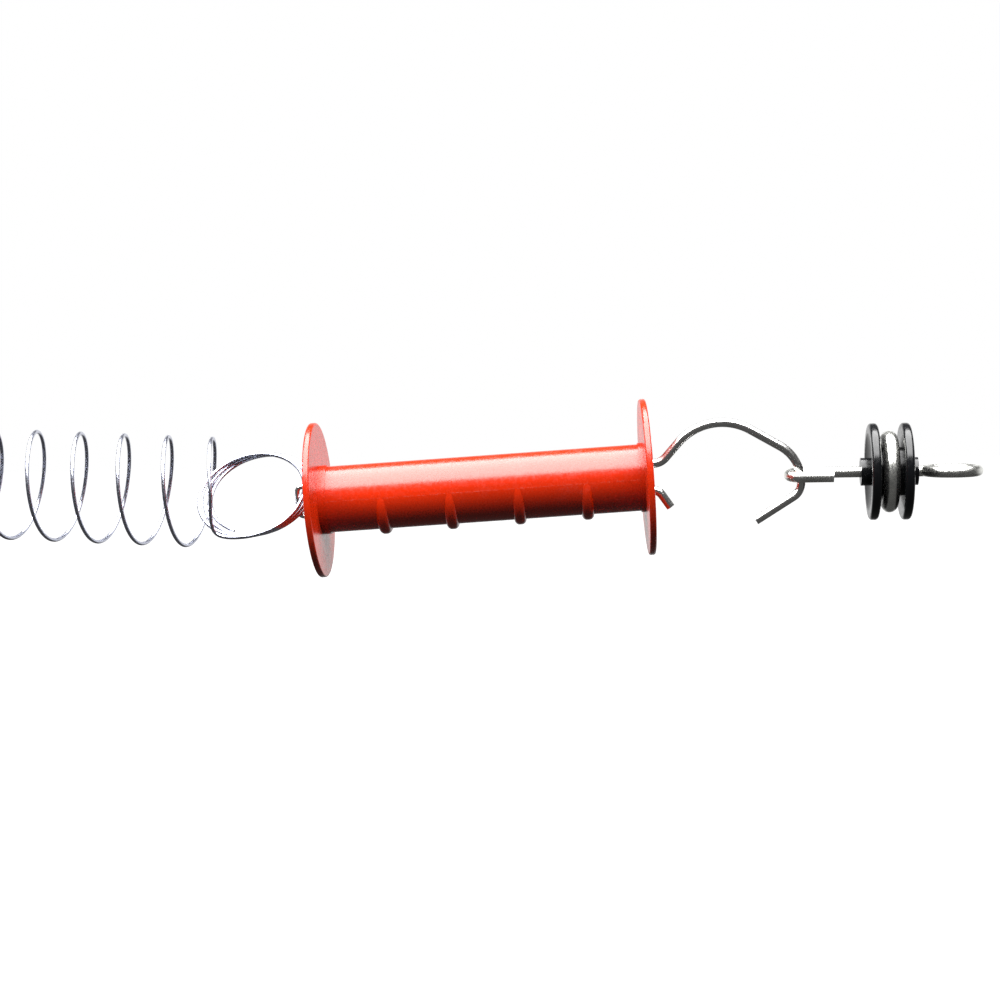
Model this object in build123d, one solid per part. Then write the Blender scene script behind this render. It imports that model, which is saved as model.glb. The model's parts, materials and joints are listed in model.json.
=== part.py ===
"""Electric-fence gate handle on its post anchor, with the gate spring hooked to the handle.

Millimetres. X runs along the gate line to the right, Y into the post, Z up. The origin lies on
the front face of the post, on the axis of the wood screw.
"""

import math
import os

from build123d import *

# Wood screw with its ring
SCREW_WIRE = 6.0
RING_OUTSIDE = 31.2
STANDOFF = 22.0
NECK_STEP = 0.25
NECK_TAPER = 1.5
PLAIN_SHANK = 12.0
THREAD_LENGTH = 26.0
THREAD_PITCH = 2.6
THREAD_RISE = 0.45
THREAD_CREST = 0.15
THREAD_CORE = 4.4
SCREW_TIP = 6.0

# Reel insulator in the ring, moulded as two halves
REEL_DIAMETER = 36.8
RIM_THICKNESS = 3.4
RIM_EDGE = 1.2
GROOVE_WIDTH = 8.6
REEL_LENGTH = 21.2
BOSS_DIAMETER = 10.6
WAIST_CLEARANCE = 0.35
DISH_DEPTH = 2.1
DISH_SAG = 0.12
SPIGOT_DIAMETER = 10.0
SPIGOT_LENGTH = 4.0
SPIGOT_CLEARANCE = 0.05

# Rod through the reel: an open loop for the hook, a closed eye for the fence wire
ROD_WIRE = 4.2
ROD_CLEARANCE = 0.08
EYE_OUTSIDE = 23.2
EYE_NECK = 0.8
EYE_SEAM = 0.5
SEAM_ANGLE = 196.0
LOOP_INSIDE = 5.2
LOOP_REACH = 39.6
LOOP_RETURN = 18.4
LOOP_TWIST = 6.5

# Hook drawbar: one wire bent double through the grip
HOOK_WIRE = 3.4
HOOK_CLEARANCE = 0.3
LEG_OFFSET = 5.0
HOOK_REACH = 57.0
HOOK_ROOT = 2.0
ROOT_RADIUS = 6.0
RISE_ANGLE = 46.0
RISE_LENGTH = 7.2
CROWN_RADIUS = 22.0
FALL_ANGLE = 33.0
NOSE_RADIUS = 15.0
NOSE_RUN = 1.5
BEAK_RADIUS = 6.0
BEAK_ANGLE = 29.0
BEAK_LENGTH = 17.0
STOP_RADIUS = 5.0
STOP_ANGLE = 58.0
STOP_LENGTH = 5.6

# Grip
GRIP_TILT = 2.8
GRIP_SWING = 6.0
GRIP_LENGTH = 128.6
GRIP_DIAMETER = 25.5
GRIP_WALL = 2.2
FLANGE_DIAMETER = 59.6
FLANGE_THICKNESS = 2.5
FLANGE_ROUNDING = 0.75
FRONT_WALL = 3.5
LEG_HOLE_CLEARANCE = 0.25
NECK_FILLET = 1.6
RIB_COUNT = 4
RIB_PITCH = 25.9
RIB_FIRST = 24.5
RIB_WIDTH = 4.6
RIB_HEIGHT = 2.0
RIB_ROUNDING = 1.93
COLLAR_LENGTH = 3.0
COLLAR_STEP = 0.5
PLUG_LENGTH = 12.0
PLUG_WALL = 2.0
PLUG_CLEARANCE = 0.05

# Spring inside the grip, its seat and its follower
SEAT_THICKNESS = 1.2
COIL_OUTSIDE = 18.4
COIL_WIRE = 1.8
COIL_LENGTH = 66.0
COIL_TURNS = 12.0
FOLLOWER_THICKNESS = 2.0
FOLLOWER_CLEARANCE = 0.6
END_GAP = 0.05

# Staple eye at the rear of the grip
STAPLE_WIRE = 2.0
STAPLE_OFFSET = 5.7
STAPLE_REACH = 8.0
STAPLE_CORNER = 2.2
STAPLE_CLEARANCE = 0.1
PLATE_DIAMETER = 16.4
PLATE_THICKNESS = 1.5
HEAD_DIAMETER = 3.8
HEAD_THICKNESS = 1.2

# Gate spring: an open coil with a ring of close turns at each end
SPRING_WIRE = 1.5
SPRING_OUTSIDE = 43.6
SPRING_PITCH = 17.3
SPRING_TURNS = 7
SPRING_SLOPE = 3.5
RING_TURNS = 3.0
RING_STEP = 2.15
RING_SHRINK = 0.3
RING_SHIFT = 1.25
RING_TILT = 46.0
RING_RISE = 10.0
RING_LEAD = 17.6
RING_START = -122.0
RING_CROSSING = -20.0
JOIN_LEAN = 0.5
JOIN_WIDTH = 0.98
EYE_SLACK = 0.85
COIL_END_GAP = 0.1

# Sizes that follow from the ones above
rod_radius = ROD_WIRE / 2
hook_radius = HOOK_WIRE / 2
screw_radius = SCREW_WIRE / 2
ring_radius = (RING_OUTSIDE - SCREW_WIRE) / 2
waist_radius = RING_OUTSIDE / 2 - SCREW_WIRE - WAIST_CLEARANCE
reel_radius = REEL_DIAMETER / 2
grip_radius = GRIP_DIAMETER / 2
bore_radius = grip_radius - GRIP_WALL
flange_radius = FLANGE_DIAMETER / 2
loop_radius = (LOOP_INSIDE + ROD_WIRE) / 2
spring_radius = (SPRING_OUTSIDE - SPRING_WIRE) / 2
coil_radius = (COIL_OUTSIDE - COIL_WIRE) / 2
follower_radius = bore_radius - FOLLOWER_CLEARANCE

reel_centre = Vector(0, -STANDOFF, 0)
loop_twist = math.radians(LOOP_TWIST)
hook_y = -STANDOFF - loop_radius * math.cos(loop_twist)
hook_x = -LOOP_REACH + ROD_WIRE + HOOK_CLEARANCE + hook_radius
tilt = math.radians(GRIP_TILT)
swing = math.radians(GRIP_SWING)
# The grip's own frame: its Z runs forward along the grip, its X points up, its Y across.
level = Vector(math.cos(swing), math.sin(swing), 0)
forward = level * math.cos(tilt) + Vector(0, 0, math.sin(tilt))
upward = level * -math.sin(tilt) + Vector(0, 0, math.cos(tilt))
hook_seat = Vector(hook_x, hook_y, HOOK_REACH * math.sin(tilt))
grip_front = hook_seat - forward * HOOK_REACH
grip_frame = Plane(origin=grip_front, x_dir=upward, z_dir=forward)
seat_rear = -FRONT_WALL - SEAT_THICKNESS - 2 * END_GAP
coil_rear = seat_rear - COIL_LENGTH
follower_rear = coil_rear - END_GAP - FOLLOWER_THICKNESS


def rod_along(path, radius):
    """A round wire of the given radius swept along a path of tangent lines and arcs."""
    start = Plane(origin=path @ 0, z_dir=path % 0)
    return sweep(start * Circle(radius), path=path)


def bent_path(start, heading, steps, point_at):
    """Lines and arcs one after another in a plane.

    Each step is (length,) for a straight run or (radius, turn in degrees) for a bend, positive
    to the left. point_at places a flat point in space.
    """
    edges = []
    x, y = start
    angle = math.radians(heading)
    for step in steps:
        if len(step) == 1:
            end = (x + step[0] * math.cos(angle), y + step[0] * math.sin(angle))
            edges.append(Line(point_at(x, y), point_at(*end)))
        else:
            radius, turn = step[0], math.radians(step[1])
            side = math.copysign(1, turn)
            centre_x = x - side * radius * math.sin(angle)
            centre_y = y + side * radius * math.cos(angle)
            points = []
            for share in (0.5, 1.0):
                swing = angle + share * turn
                points.append(
                    (centre_x + side * radius * math.sin(swing), centre_y - side * radius * math.cos(swing))
                )
            end = points[1]
            edges.append(ThreePointArc(point_at(x, y), point_at(*points[0]), point_at(*end)))
            angle += turn
        x, y = end
    return Wire(edges)


def place_on_grip(along, up):
    """A point of the hook's plane: along the grip from its front face, and up from its axis."""
    return grip_front + forward * along + upward * up


def screw_eye():
    """Ring, neck, plain shank and wood thread in one piece; the neck stops at the post's face."""
    ring = Plane(origin=reel_centre, z_dir=(1, 0, 0)) * Torus(ring_radius, screw_radius)
    shank_start = -STANDOFF + ring_radius
    from_face = (Align.CENTER, Align.CENTER, Align.MIN)
    neck = Plane(origin=(0, shank_start, 0), z_dir=(0, 1, 0)) * Cone(
        screw_radius, screw_radius + NECK_STEP, NECK_TAPER, align=from_face
    )
    neck += Plane(origin=(0, shank_start + NECK_TAPER, 0), z_dir=(0, 1, 0)) * Cylinder(
        screw_radius + NECK_STEP, -shank_start - NECK_TAPER, align=from_face
    )
    shank = Plane(origin=(0, 0, 0), z_dir=(0, 1, 0)) * Cylinder(screw_radius, PLAIN_SHANK, align=from_face)
    core = THREAD_CORE / 2
    outline = [(0, PLAIN_SHANK), (screw_radius, PLAIN_SHANK), (core, PLAIN_SHANK + screw_radius - core)]
    turns = int(THREAD_LENGTH / THREAD_PITCH)
    for turn in range(1, turns + 1):
        crest = PLAIN_SHANK + turn * THREAD_PITCH + screw_radius - core
        outline.append((core, crest - THREAD_RISE * THREAD_PITCH))
        outline.append((screw_radius, crest - THREAD_CREST * THREAD_PITCH))
        outline.append((core, crest))
    outline.append((0, outline[-1][1] + SCREW_TIP))
    thread = revolve(make_face(Polyline(*outline, close=True)), axis=Axis.Y)
    return ring + neck + shank + thread


def reel_half(side):
    """Half of the reel, side +1 to the right or -1 to the left, which carries the spigot."""
    bore = rod_radius + ROD_CLEARANCE
    groove = GROOVE_WIDTH / 2
    rim_plane = groove + RIM_THICKNESS
    boss = BOSS_DIAMETER / 2
    inner_lip = reel_radius - RIM_THICKNESS
    floor = rim_plane - DISH_DEPTH
    lines = [
        Line((0, bore), (REEL_LENGTH / 2, bore)),
        Line((REEL_LENGTH / 2, bore), (REEL_LENGTH / 2, boss)),
        Line((REEL_LENGTH / 2, boss), (floor, boss)),
        ThreePointArc(
            (floor, boss),
            (floor + DISH_SAG * DISH_DEPTH, (boss + inner_lip) / 2),
            (rim_plane, inner_lip),
        ),
        Line((rim_plane, inner_lip), (rim_plane, reel_radius - RIM_EDGE)),
        ThreePointArc(
            (rim_plane, reel_radius - RIM_EDGE),
            (rim_plane - RIM_EDGE * (1 - math.sqrt(0.5)), reel_radius - RIM_EDGE * (1 - math.sqrt(0.5))),
            (rim_plane - RIM_EDGE, reel_radius),
        ),
        Line((rim_plane - RIM_EDGE, reel_radius), (groove + RIM_EDGE, reel_radius)),
        ThreePointArc(
            (groove + RIM_EDGE, reel_radius),
            (groove + RIM_EDGE * (1 - math.sqrt(0.5)), reel_radius - RIM_EDGE * (1 - math.sqrt(0.5))),
            (groove, reel_radius - RIM_EDGE),
        ),
        Line((groove, reel_radius - RIM_EDGE), (groove, waist_radius)),
        Line((groove, waist_radius), (0, waist_radius)),
        Line((0, waist_radius), (0, bore)),
    ]
    half = revolve(make_face(Wire(lines)), axis=Axis.X)
    along_x = Plane(origin=(0, 0, 0), z_dir=(1, 0, 0))
    from_face = (Align.CENTER, Align.CENTER, Align.MIN)
    if side > 0:
        socket_radius = SPIGOT_DIAMETER / 2 + SPIGOT_CLEARANCE
        socket_depth = SPIGOT_LENGTH + SPIGOT_CLEARANCE
        half = half - along_x * Cylinder(socket_radius, socket_depth, align=from_face)
    else:
        half = mirror(half, about=Plane.YZ)
        spigot = Cylinder(SPIGOT_DIAMETER / 2, SPIGOT_LENGTH, align=from_face)
        spigot = spigot - Cylinder(bore, SPIGOT_LENGTH, align=from_face)
        half = half + along_x * spigot
    return Location(reel_centre) * half


def anchor_rod():
    """Rod with an open loop towards the gate and a closed eye for the fence wire."""
    eye_ring = (EYE_OUTSIDE - ROD_WIRE) / 2
    eye_x = REEL_LENGTH / 2 + EYE_NECK + EYE_OUTSIDE / 2
    loop_x = -LOOP_REACH + rod_radius + loop_radius

    def place(along, across):
        return reel_centre + Vector(along, across * math.cos(loop_twist), across * math.sin(loop_twist))

    straight = eye_x - eye_ring - loop_x
    steps = [(straight,), (loop_radius, 180.0), (LOOP_RETURN - rod_radius - loop_radius,)]
    path = bent_path((eye_x - eye_ring, 0), 180.0, steps, place)
    rod = rod_along(path, rod_radius)
    eye = Location(reel_centre + Vector(eye_x, 0, 0)) * Torus(eye_ring, rod_radius)
    seam_angle = math.radians(SEAM_ANGLE)
    seam_spot = reel_centre + Vector(
        eye_x + eye_ring * math.cos(seam_angle), eye_ring * math.sin(seam_angle), 0
    )
    seam = Location(seam_spot, (0, 0, math.degrees(seam_angle))) * Box(ROD_WIRE * 1.5, EYE_SEAM, ROD_WIRE * 1.5)
    return rod + (eye - seam)


def hook_drawbar():
    """Hook, upper leg, turn behind the follower, lower leg and its bent end, in one wire."""
    fall_turn = -(RISE_ANGLE + FALL_ANGLE)
    nose_turn = -(90.0 - FALL_ANGLE)
    beak_turn = -(90.0 - BEAK_ANGLE)
    nose_top = -NOSE_RUN + NOSE_RADIUS * math.sin(math.radians(90.0 - FALL_ANGLE))
    crown_chord = CROWN_RADIUS * (math.sin(math.radians(RISE_ANGLE)) + math.sin(math.radians(FALL_ANGLE)))
    root_run = ROOT_RADIUS * math.sin(math.radians(RISE_ANGLE))
    rise_run = RISE_LENGTH * math.cos(math.radians(RISE_ANGLE))
    nose_depth = NOSE_RADIUS * (1 - math.cos(math.radians(90.0 - FALL_ANGLE)))
    fall_run = HOOK_REACH - nose_depth - HOOK_ROOT - root_run - rise_run - crown_chord
    fall_length = fall_run / math.cos(math.radians(FALL_ANGLE))
    steps = [
        (STOP_LENGTH,),
        (STOP_RADIUS, STOP_ANGLE),
        (-follower_rear,),
        (LEG_OFFSET, -180.0),
        (HOOK_ROOT - follower_rear,),
        (ROOT_RADIUS, RISE_ANGLE),
        (RISE_LENGTH,),
        (CROWN_RADIUS, fall_turn),
        (fall_length,),
        (NOSE_RADIUS, nose_turn),
        (NOSE_RUN,),
        (BEAK_RADIUS, beak_turn),
        (BEAK_LENGTH,),
    ]
    stop = math.radians(STOP_ANGLE)
    stop_x = STOP_RADIUS * math.sin(stop) + STOP_LENGTH * math.cos(stop)
    stop_y = -LEG_OFFSET - STOP_RADIUS * (1 - math.cos(stop)) - STOP_LENGTH * math.sin(stop)
    path = bent_path((stop_x, stop_y), 180.0 - STOP_ANGLE, steps, place_on_grip)
    return rod_along(path, hook_radius)


def spring_follower():
    """Plate behind the spring, with a saddle in which the drawbar's turn seats."""
    plate_base = Location((0, 0, follower_rear))
    plate = plate_base * Cylinder(
        follower_radius, FOLLOWER_THICKNESS, align=(Align.CENTER, Align.CENTER, Align.MIN)
    )
    saddle_radius = LEG_OFFSET - hook_radius - END_GAP
    saddle = Location((0, 0, follower_rear), (90, 0, 0)) * Cylinder(saddle_radius, HOOK_WIRE)
    below = Location((0, 0, follower_rear)) * Box(
        4 * saddle_radius, 4 * saddle_radius, 4 * saddle_radius, align=(Align.CENTER, Align.CENTER, Align.MIN)
    )
    return grip_frame * (plate + (saddle - below) - leg_holes(follower_rear, FOLLOWER_THICKNESS))


def leg_holes(start, length):
    """Two holes for the drawbar's legs, in the grip's frame."""
    hole = Cylinder(
        hook_radius + LEG_HOLE_CLEARANCE, length, align=(Align.CENTER, Align.CENTER, Align.MIN)
    )
    upper = Location((LEG_OFFSET, 0, start)) * hole
    lower = Location((-LEG_OFFSET, 0, start)) * hole
    return upper + lower


def drawbar_spring():
    """Compression spring round the two legs."""
    path = Helix(COIL_LENGTH / COIL_TURNS * (1 - COIL_WIRE / COIL_LENGTH), COIL_LENGTH - COIL_WIRE, coil_radius)
    start = Plane(origin=path @ 0, z_dir=path % 0)
    coil = sweep(start * Circle(COIL_WIRE / 2), path=path, is_frenet=True)
    return grip_frame * (Location((0, 0, coil_rear + COIL_WIRE / 2)) * coil)


def front_spring_seat():
    """Washer between the grip's front wall and the spring."""
    base = -FRONT_WALL - SEAT_THICKNESS - END_GAP
    washer = Location((0, 0, base)) * Cylinder(
        follower_radius, SEAT_THICKNESS, align=(Align.CENTER, Align.CENTER, Align.MIN)
    )
    return grip_frame * (washer - leg_holes(base, SEAT_THICKNESS))


def grip_tube():
    """Tube with front wall, front flange and finger ribs under it."""
    from_rear = (Align.CENTER, Align.CENTER, Align.MIN)
    tube_length = GRIP_LENGTH - FLANGE_THICKNESS - COLLAR_LENGTH
    tube = Location((0, 0, -tube_length)) * Cylinder(grip_radius, tube_length, align=from_rear)
    flange = Location((0, 0, -FLANGE_THICKNESS)) * Cylinder(flange_radius, FLANGE_THICKNESS, align=from_rear)
    flange = fillet(flange.edges().filter_by(GeomType.CIRCLE), FLANGE_ROUNDING)
    neck = Location((0, 0, -FLANGE_THICKNESS - NECK_FILLET)) * Cylinder(
        grip_radius + COLLAR_STEP, NECK_FILLET, align=from_rear
    )
    body = tube + flange + neck
    for number in range(RIB_COUNT):
        body = body + finger_rib(-RIB_FIRST - number * RIB_PITCH)
    bore = Location((0, 0, -tube_length)) * Cylinder(bore_radius, tube_length - FRONT_WALL, align=from_rear)
    return grip_frame * (body - bore - leg_holes(-FRONT_WALL, FRONT_WALL))


def finger_rib(at):
    """Crescent rib: a round-edged disc set low, so that it fades out at the height of the axis."""
    deepest = grip_radius + RIB_HEIGHT
    offset = (deepest**2 - grip_radius**2) / (2 * deepest)
    disc = Cylinder(deepest - offset, RIB_WIDTH)
    disc = fillet(disc.edges().filter_by(GeomType.CIRCLE), RIB_ROUNDING)
    return Location((-offset, 0, at)) * disc


def rear_cap():
    """Rear flange with the collar that meets the tube and the plug that fills its end."""
    from_rear = (Align.CENTER, Align.CENTER, Align.MIN)
    wall = FLANGE_THICKNESS + COLLAR_LENGTH
    rear = -GRIP_LENGTH
    flange = Location((0, 0, rear)) * Cylinder(flange_radius, FLANGE_THICKNESS, align=from_rear)
    flange = fillet(flange.edges().filter_by(GeomType.CIRCLE), FLANGE_ROUNDING)
    collar = Location((0, 0, rear)) * Cylinder(grip_radius + COLLAR_STEP, wall, align=from_rear)
    plug_radius = bore_radius - PLUG_CLEARANCE
    plug = Location((0, 0, rear + wall)) * Cylinder(plug_radius, PLUG_LENGTH, align=from_rear)
    hollow = Location((0, 0, rear + wall)) * Cylinder(plug_radius - PLUG_WALL, PLUG_LENGTH, align=from_rear)
    return grip_frame * (flange + collar + plug - hollow - staple_holes(rear, wall))


def staple_holes(start, length):
    """Two holes for the staple's legs, in the grip's frame."""
    hole = Cylinder(
        STAPLE_WIRE / 2 + STAPLE_CLEARANCE, length, align=(Align.CENTER, Align.CENTER, Align.MIN)
    )
    upper = Location((STAPLE_OFFSET, 0, start)) * hole
    lower = Location((-STAPLE_OFFSET, 0, start)) * hole
    return upper + lower


def staple_depth():
    """Where the staple's heads start inside the cap, along the grip."""
    return -GRIP_LENGTH + FLANGE_THICKNESS + COLLAR_LENGTH + 2 * END_GAP + PLATE_THICKNESS


def rear_eye():
    """Square staple for the gate spring, its legs headed over inside the cap."""
    wire = STAPLE_WIRE / 2
    head_start = staple_depth()
    back = -GRIP_LENGTH - STAPLE_REACH + wire
    leg = head_start - back - STAPLE_CORNER
    across = 2 * (STAPLE_OFFSET - STAPLE_CORNER)
    steps = [(leg,), (STAPLE_CORNER, 90.0), (across,), (STAPLE_CORNER, 90.0), (leg,)]
    path = bent_path((head_start, STAPLE_OFFSET), 180.0, steps, place_on_grip)
    eye = rod_along(path, wire)
    head = Cylinder(HEAD_DIAMETER / 2, HEAD_THICKNESS, align=(Align.CENTER, Align.CENTER, Align.MIN))
    for side in (1, -1):
        eye = eye + grip_frame * (Location((side * STAPLE_OFFSET, 0, head_start)) * head)
    return eye


def eye_backing_plate():
    """Disc inside the cap that the staple's heads pull against."""
    start = staple_depth() - END_GAP - PLATE_THICKNESS
    plate = Location((0, 0, start)) * Cylinder(
        PLATE_DIAMETER / 2, PLATE_THICKNESS, align=(Align.CENTER, Align.CENTER, Align.MIN)
    )
    return grip_frame * (plate - staple_holes(start, PLATE_THICKNESS))


# The gate spring's own frame has its origin in the middle of the coil and its X along it.
ring_tilt = math.radians(RING_TILT)
ring_rise = math.radians(RING_RISE)
ring_across = Vector(math.cos(ring_rise), 0, math.sin(ring_rise))
ring_upward = Vector(
    -math.sin(ring_rise) * math.cos(ring_tilt), math.sin(ring_tilt), math.cos(ring_rise) * math.cos(ring_tilt)
)
coil_half = SPRING_TURNS * SPRING_PITCH / 2
ring_centre = Vector(coil_half + RING_LEAD, 0, 0)


def ring_point(degrees):
    """A point of the end ring, counted from its right and rising, the middle turn centred.

    Each turn lies behind the one before, to its right, and is a little smaller.
    """
    angle = math.radians(degrees)
    turns = (degrees - RING_START) / 360.0 - RING_TURNS / 2
    radius = spring_radius - RING_SHRINK * turns
    around = ring_across * math.cos(angle) + ring_upward * math.sin(angle)
    shift = Vector(RING_SHIFT + RING_SHRINK, RING_STEP, 0) * turns
    return ring_centre + around * radius + shift


def coil_point(along):
    """A point of the open coil, a bottom of which lies in the middle."""
    angle = math.radians(-90.0 + 360.0 * along / SPRING_PITCH)
    return Vector(along, spring_radius * math.cos(angle), spring_radius * math.sin(angle))


def spring_location():
    """Puts the near ring's middle turn through the staple."""
    crossing = ring_point(RING_CROSSING + 360.0)
    eye_inside = -GRIP_LENGTH - STAPLE_REACH + STAPLE_WIRE + SPRING_WIRE / 2 + EYE_SLACK
    target = place_on_grip(eye_inside, 0)
    turned = Location((0, 0, 0), (0, 0, GRIP_SWING)) * Location((0, 0, 0), (0, SPRING_SLOPE, 0))
    return Location(target - (turned * Location(crossing)).position) * turned


def gate_spring_coil():
    """Open coil between the two end rings, cut a hair short of each."""
    steps = SPRING_TURNS * 12
    reach = coil_half - COIL_END_GAP * SPRING_PITCH / (2 * math.pi * spring_radius)
    points = [coil_point(reach * (2 * step / steps - 1)) for step in range(steps + 1)]
    return spring_wire(points)


def gate_spring_end_ring():
    """Last half turn, which comes down in front, and the ring of close turns on the staple."""
    start = coil_point(coil_half)
    first = coil_point(coil_half + SPRING_PITCH / 12)
    join = ring_point(RING_START)
    half_way = Vector((first.X + join.X) / 2 + JOIN_LEAN, -spring_radius * JOIN_WIDTH, (first.Z + join.Z) / 2)
    points = [start, first, half_way]
    count = int(RING_TURNS * 12)
    points = points + [ring_point(RING_START + 30.0 * step) for step in range(count + 1)]
    return spring_wire(points)


def spring_wire(points):
    """Spring wire through the given points, which start or end on the open coil."""
    path = Spline(*points)
    start = Plane(origin=path @ 0, z_dir=path % 0)
    return sweep(start * Circle(SPRING_WIRE / 2), path=path)


def build():
    """Every piece by name."""
    spring_place = spring_location()
    end_ring = gate_spring_end_ring()
    half_turn = Location((0, 0, 0), (0, 0, 180))
    return {
        "screw_eye": screw_eye(),
        "reel_left_half": reel_half(-1),
        "reel_right_half": reel_half(1),
        "anchor_rod": anchor_rod(),
        "hook_drawbar": hook_drawbar(),
        "spring_follower": spring_follower(),
        "drawbar_spring": drawbar_spring(),
        "front_spring_seat": front_spring_seat(),
        "grip_tube": grip_tube(),
        "rear_cap": rear_cap(),
        "rear_eye": rear_eye(),
        "eye_backing_plate": eye_backing_plate(),
        "gate_spring_end_ring": spring_place * end_ring,
        "gate_spring_coil": spring_place * gate_spring_coil(),
        "gate_spring_far_ring": spring_place * (half_turn * end_ring),
    }


os.makedirs("parts", exist_ok=True)
for name, piece in build().items():
    export_step(piece, f"parts/{name}.step")
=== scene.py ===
"""Looks for the electric-fence gate handle on its post anchor.

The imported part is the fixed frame. Each sub-assembly below dresses its own solids with procedural
finishes and builds the pieces that follow a rule, the springs, the wood screw and the moulding
flash, with Geometry Nodes. Metres throughout, in the part's own frame.
"""

import json
import logging
import math
from dataclasses import dataclass, field
from enum import Enum
from typing import Any, Callable, ClassVar, Sequence

import bmesh
import bpy
from mathutils import Matrix, Vector

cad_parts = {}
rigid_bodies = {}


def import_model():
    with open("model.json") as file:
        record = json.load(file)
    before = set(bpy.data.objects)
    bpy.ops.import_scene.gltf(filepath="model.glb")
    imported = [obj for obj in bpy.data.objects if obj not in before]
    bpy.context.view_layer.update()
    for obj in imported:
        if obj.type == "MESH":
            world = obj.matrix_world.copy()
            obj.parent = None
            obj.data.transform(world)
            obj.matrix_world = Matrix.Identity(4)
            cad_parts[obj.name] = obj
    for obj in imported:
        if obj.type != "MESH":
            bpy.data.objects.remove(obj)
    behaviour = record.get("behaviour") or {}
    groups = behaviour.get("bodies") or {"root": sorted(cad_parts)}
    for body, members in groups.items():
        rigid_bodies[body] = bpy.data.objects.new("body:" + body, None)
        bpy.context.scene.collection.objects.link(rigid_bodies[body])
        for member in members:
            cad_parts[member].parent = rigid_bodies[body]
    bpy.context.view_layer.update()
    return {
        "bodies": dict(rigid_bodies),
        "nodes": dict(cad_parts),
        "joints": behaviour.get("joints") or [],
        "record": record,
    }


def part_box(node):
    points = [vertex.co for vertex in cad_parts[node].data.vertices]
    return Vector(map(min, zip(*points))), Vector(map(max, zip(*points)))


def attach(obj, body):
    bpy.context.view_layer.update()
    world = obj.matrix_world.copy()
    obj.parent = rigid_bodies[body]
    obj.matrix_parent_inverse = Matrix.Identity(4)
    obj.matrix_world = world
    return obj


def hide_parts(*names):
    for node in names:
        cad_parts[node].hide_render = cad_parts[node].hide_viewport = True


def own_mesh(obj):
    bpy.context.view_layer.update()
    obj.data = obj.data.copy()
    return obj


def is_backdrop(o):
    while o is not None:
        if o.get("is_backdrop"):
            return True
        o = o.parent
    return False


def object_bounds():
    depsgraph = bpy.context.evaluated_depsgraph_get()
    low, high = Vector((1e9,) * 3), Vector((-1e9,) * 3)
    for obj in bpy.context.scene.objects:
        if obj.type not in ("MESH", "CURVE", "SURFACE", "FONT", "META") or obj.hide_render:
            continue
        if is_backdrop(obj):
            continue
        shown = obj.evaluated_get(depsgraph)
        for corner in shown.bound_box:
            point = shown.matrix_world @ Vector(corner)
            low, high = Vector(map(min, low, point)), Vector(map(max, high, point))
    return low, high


log = logging.getLogger("gate_handle")
MM = 0.001
# Closer points than this are one point, and a length below it counts as none.
MERGE = 1e-6
SHARP_ANGLE = math.radians(38.0)
SWEEP_STATIONS, SWEEP_SIDES = 128, 40


class Slot(Enum):
    """Material slots of the record."""

    ZINC = "zinc_steel"
    HOOK = "hook_steel"
    SPRING = "spring_steel"
    ORANGE = "orange_plastic"
    BLACK = "black_plastic"


class Body(Enum):
    """Bodies that pieces ride on."""

    ANCHOR = "post_anchor"
    ROD = "rod"
    DRAWBAR = "drawbar"
    GRIP = "grip"
    GATE_SPRING = "gate_spring"
    FAR_RING = "far_ring"


# ---------------------------------------------------------------------------------------------
# Node trees


@dataclass
class Bench:
    """Adds nodes to one tree and wires them."""

    tree: bpy.types.NodeTree

    def add(self, kind: str, inputs: dict[Any, Any] | None = None, **settings: Any) -> bpy.types.Node:
        """Adds a node.

        Args:
            kind: The node's type name.
            inputs: Values or sockets by input name or index.
            settings: Properties of the node, set before its inputs.

        Returns:
            The new node.
        """
        node = self.tree.nodes.new(kind)
        for key, value in settings.items():
            setattr(node, key, value)
        for key, value in (inputs or {}).items():
            socket = node.inputs[key]
            if isinstance(value, bpy.types.NodeSocket):
                self.tree.links.new(value, socket)
            else:
                socket.default_value = value
        return node

    def math(self, operation: str, *values: Any, clamp: bool = False) -> bpy.types.NodeSocket:
        """Adds a Math node over the values and returns its output."""
        node = self.add("ShaderNodeMath", dict(enumerate(values)), operation=operation, use_clamp=clamp)
        return node.outputs[0]

    def ramp(
        self, value: Any, start: Any, end: Any, low: Any = 0.0, high: Any = 1.0
    ) -> bpy.types.NodeSocket:
        """Smoothly maps start..end to low..high and returns the output."""
        inputs = {0: value, 1: start, 2: end, 3: low, 4: high}
        return self.add("ShaderNodeMapRange", inputs, interpolation_type="SMOOTHSTEP").outputs[0]

    def mix(self, share: Any, first: Any, second: Any) -> bpy.types.NodeSocket:
        """Mixes two colours by share and returns the colour."""
        return self.add("ShaderNodeMix", {0: share, 6: first, 7: second}, data_type="RGBA").outputs[2]

    def noise(
        self, vector: Any, scale: Any, detail: float = 2.0, roughness: float = 0.5
    ) -> bpy.types.NodeSocket:
        """Adds a Noise Texture over the vector and returns its value."""
        inputs = {"Vector": vector, "Scale": scale, "Detail": detail, "Roughness": roughness}
        return self.add("ShaderNodeTexNoise", inputs).outputs[0]

    def stretched(self, vector: Any, scale: Sequence[float]) -> bpy.types.NodeSocket:
        """Scales a pattern's coordinates along each axis and returns them."""
        return self.add("ShaderNodeMapping", {"Vector": vector, "Scale": scale}).outputs[0]

    def hand_out(self, leave: bpy.types.Node, **values: bpy.types.NodeSocket) -> bpy.types.NodeTree:
        """Wires values to the group's outputs by name and returns the tree."""
        for label, value in values.items():
            self.tree.links.new(value, leave.inputs[label])
        return self.tree


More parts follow.
